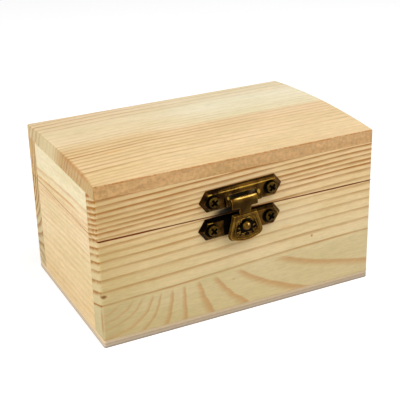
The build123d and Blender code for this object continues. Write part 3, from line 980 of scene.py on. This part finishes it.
def screwTree(material, look):
    tree, size = newTree("woodScrew", {**look["sizes"], "Turns": look["turns"]})
    last = len(look["profile"]) - 1
    cells = {"Size X": 1.0, "Size Y": 1.0, "Vertices X": size["Turns"], "Vertices Y": last + 1}
    grid = output("GeometryNodeMeshGrid", cells)
    cell = separate(addNode(tree, "GeometryNodeInputPosition").outputs[0])
    turn = times(calc("ADD", cell[0], 0.5), 2 * pi)
    row = calc("ADD", cell[1], 0.5)
    wide, tall = (floatCurve(row, [(index / last, value) for index, value in enumerate(values)])
                  for values in zip(*look["profile"]))
    shankShare = look["profile"][look["seatRow"]][0]
    slim = times(calc("DIVIDE", wide, shankShare), size["Shank Radius"])
    broad = times(wide, size["Head Radius"])
    inHead = calc("GREATER_THAN", row, look["seatRow"] / last + 0.02)
    radius = mixValue(inHead, slim, broad)
    fromSeat = timesPlus(tall, 2.0, -1.0)
    over = calc("GREATER_THAN", tall, 0.5)
    height = times(fromSeat, mixValue(over, size["Length"], size["Head Height"]))
    spot = vector(times(radius, calc("COSINE", turn)), times(radius, calc("SINE", turn)), height)
    body = output("GeometryNodeSetPosition", {0: grid, "Position": spot})
    body = output("GeometryNodeMergeByDistance", {0: body, "Distance": 0.004 * mm})

    armSize = vector(size["Arm Span"], size["Arm Width"], times(size["Arm Depth"], 2.0))
    arm = output("GeometryNodeMeshCube", {"Size": armSize})
    top = vector(0.0, 0.0, size["Head Height"])
    for angle in (0.0, pi / 2):
        turned = {0: arm, "Translation": top, "Rotation": (0.0, 0.0, angle)}
        cut = {0: body, 1: output("GeometryNodeTransform", turned)}
        body = output("GeometryNodeMeshBoolean", cut, operation="DIFFERENCE", solver="EXACT")

    # hollow: 1 on the floor of the recess, a little in the middle of the head, 0 elsewhere
    x, y, z = separate(addNode(tree, "GeometryNodeInputPosition").outputs[0])
    fromAxis = calc("SQRT", timesPlus(x, x, times(y, y)))
    middle = calc("LESS_THAN", fromAxis, times(size["Head Radius"], 0.74))
    middle = times(middle, calc("GREATER_THAN", z, 0.05 * mm))
    low, high = (times(size["Head Height"], share) for share in (0.6, 0.88))
    depth = smoothStep(z, low, high, 1.0, 0.14)
    hollow = {0: body, "Name": "hollow", "Value": times(depth, middle)}
    body = output("GeometryNodeStoreNamedAttribute", hollow, domain="POINT")

    aim, spin = (addNode(tree, "GeometryNodeInputNamedAttribute", {"Name": name}, data_type=kind).outputs[0]
                 for name, kind in (("aim", "FLOAT_VECTOR"), ("spin", "FLOAT")))
    facing = output("FunctionNodeAlignRotationToVector", {"Vector": aim}, axis="Z")
    twist = output("FunctionNodeAxisAngleToRotation", {"Angle": spin})
    turned = {0: facing, 1: twist}
    facing = output("FunctionNodeRotateRotation", turned, rotation_space="LOCAL")
    placing = {"Points": size["Geometry"], "Instance": body, "Rotation": facing}
    closeTree(output("GeometryNodeInstanceOnPoints", placing), material)
    return tree


def screwSpots(node, headHeight):
    # the seat of each screw of a node: its solids stand apart along x
    low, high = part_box(node)
    way = -1 if low.y < 0 else 1
    points = np.array([v.co[:] for v in frame["nodes"][node].data.vertices])
    middle = (low.x + high.x) / 2
    found = []
    for solid in (points[points[:, 0] < middle], points[points[:, 0] > middle]):
        centre = (solid.min(0) + solid.max(0)) / 2
        seat = way * ((way * solid[:, 1]).max() - headHeight)
        found.append(((centre[0], seat, centre[2]), (0, way, 0)))
    return found


def buildScrews(name, body, nodes, look, tree):
    headHeight = look["sizes"]["Head Height"] * mm
    spots = [spot for node in nodes for spot in screwSpots(node, headHeight)]
    mesh = bpy.data.meshes.new(name)
    mesh.from_pydata([spot for spot, _ in spots], [], [])
    aims = [number for _, aim in spots for number in aim]
    mesh.attributes.new("aim", "FLOAT_VECTOR", "POINT").data.foreach_set("vector", aims)
    spins = [radians(look["spins"][index % len(look["spins"])]) for index in range(len(spots))]
    mesh.attributes.new("spin", "FLOAT", "POINT").data.foreach_set("value", spins)
    piece = newPiece(name, mesh)
    growFrom(piece, tree, {name: value * mm for name, value in look["sizes"].items()})
    piece = settle(piece)
    faceOutward(piece.data)
    piece.data.set_sharp_from_angle(angle=radians(35))
    markWearAndLight(piece.data, 0.08, rounds=1, cap=0.64)
    hold(piece, body, "screw_metal", *nodes)


oneScrew = screwTree(screwMetal, screws)
for body, nodes in {
    "lid": ("latch_hasp_screws", "hinge_left_lid_screws", "hinge_right_lid_screws"),
    "base": ("latch_catch_screws", "hinge_left_base_screws", "hinge_right_base_screws"),
}.items():
    buildScrews("screws_" + body, body, nodes, screws, oneScrew)
print("screws ready")


# knob

knob = {
    "drop": 8.6,                     # below the pin
    "profile": [(0.0, 4.32), (0.3, 4.3), (0.6, 4.22), (0.88, 4.08), (1.1, 3.9), (1.28, 3.66), (1.38, 3.42),
                (1.45, 3.3), (1.45, 3.12), (1.4, 2.99), (0.85, 2.98), (0.75, 2.95), (0.75, 2.36), (0.96, 2.34),
                (1.0, 2.26), (1.0, 1.9), (0.92, 1.82), (0.0, 1.81)],
    "turns": 56,
    # painted shade on the flank that faces down and left; the dome a little darker
    "wearAndLight": {"cap": 0.565, "shade": [((-1, 0, -1), -0.05)],
             "touches": [(0.0, -8.6, 1.5, 1.5, -0.08),
                         (0.45, -7.8, 0.42, 0.36, 0.62)]},   # painted highlight on the upper right
}


def lathe(name, profile, turns, matrix):
    work = bmesh.new()
    rings = []
    for radius, height in profile:
        angles = [2 * pi * i / turns for i in range(turns if radius else 1)]
        spots = [(radius * cos(angle), radius * sin(angle), height) for angle in angles]
        rings.append([work.verts.new(Vector(spot) * mm) for spot in spots])
    for lower, upper in zip(rings, rings[1:]):
        for i in range(turns):
            j = (i + 1) % turns
            corners = [ring[k % len(ring)] for ring, k in ((lower, i), (lower, j), (upper, j), (upper, i))]
            work.faces.new(list(dict.fromkeys(corners)))
    mesh = bpy.data.meshes.new(name)
    work.to_mesh(mesh)
    work.free()
    faceOutward(mesh, matrix)
    return newPiece(name, mesh)


knobPlace = tongueFrame @ Matrix.Translation((0, -knob["drop"] * mm, 0))
knobPiece = lathe("latch_knob_dome", knob["profile"], knob["turns"], knobPlace)
knobPiece.data.materials.append(tongueMetal)
markWearAndLight(knobPiece.data, 0.25, **knob["wearAndLight"])
hold(knobPiece, "tongue", "antique_brass", "latch_knob")
print("knob ready")


# scrolls on the shield

scrolls = {
    "level": 2.97,                   # the field that they stand on
    "thick": 0.27,
    "tipWidth": 0.45,                # share of the thickness at the ends, and what the middle has more
    "swell": 0.65,
    "flatten": 0.8,
    "turns": 8,
}


def spiral(centre, startRadius, endRadius, startAngle, endAngle, count=22):
    points = []
    for i in range(count):
        t = i / (count - 1)
        radius = startRadius + (endRadius - startRadius) * t
        angle = radians(startAngle + (endAngle - startAngle) * t)
        points.append((centre[0] + radius * cos(angle), centre[1] + radius * sin(angle)))
    return points


def scrollPaths():
    # one side of the pattern, x to the right and y up from the pin; the other side mirrors it
    upper = spiral((2.7, -7.15), 0.14, 0.76, 300, -30)
    upper += [(3.65, -8.0), (3.95, -8.9), (4.15, -9.8)]
    upper += spiral((3.35, -10.7), 1.0, 0.16, 25, -330)
    lower = spiral((1.6, -11.75), 0.12, 0.62, 420, 60)
    lower += [(1.0, -11.15), (0.3, -10.95)]
    leaf = [(0.35, -6.0), (0.95, -5.85), (1.55, -6.1), (1.95, -6.55), (1.75, -7.0)]
    twig = [(2.35, -9.3), (2.75, -8.9), (3.2, -8.95)]
    spur = [(2.3, -10.0), (2.55, -10.5), (2.45, -11.1)]
    return [upper, lower, leaf, twig, spur]


def scrollTree(material):
    tree, size = newTree("shieldScroll", {"Thick": 1.0, "Turns": 8})
    ring = {"Resolution": size["Turns"], "Radius": size["Thick"]}
    ring = output("GeometryNodeCurvePrimitiveCircle", ring)
    width = addNode(tree, "GeometryNodeInputRadius").outputs[0]
    bead = {"Curve": size["Geometry"], "Profile Curve": ring, "Scale": width, "Fill Caps": True}
    closeTree(output("GeometryNodeCurveToMesh", bead), material)
    return tree


def buildScrolls(look, tree):
    curve = bpy.data.curves.new("latch_scrolls", "CURVE")
    curve.dimensions = "3D"
    for side in (-1, 1):
        for path in scrollPaths():
            spline = curve.splines.new("POLY")
            spline.points.add(len(path) - 1)
            for index, (x, y) in enumerate(path):
                along = index / (len(path) - 1)
                spline.points[index].co = (side * x * mm, y * mm, 0, 1)
                spline.points[index].radius = look["tipWidth"] + look["swell"] * sin(pi * along)
    piece = newPiece("latch_scrolls", curve)
    growFrom(piece, tree, {"Thick": look["thick"] * mm, "Turns": look["turns"]})
    piece = settle(piece)
    place = tongueFrame @ Matrix.Translation((0, 0, look["level"] * mm))
    faceOutward(piece.data, place @ Matrix.Diagonal((1, 1, look["flatten"], 1)))
    markWearAndLight(piece.data, 0.12, cap=0.68)
    hold(piece, "tongue", "antique_brass")


buildScrolls(scrolls, scrollTree(tongueMetal))
print("scrolls ready")

# the pins keep the CAD form
for node in ("latch_pin", "hinge_left_pin", "hinge_right_pin"):
    frame["nodes"][node].data.materials.clear()
    frame["nodes"][node].data.materials.append(screwMetal)
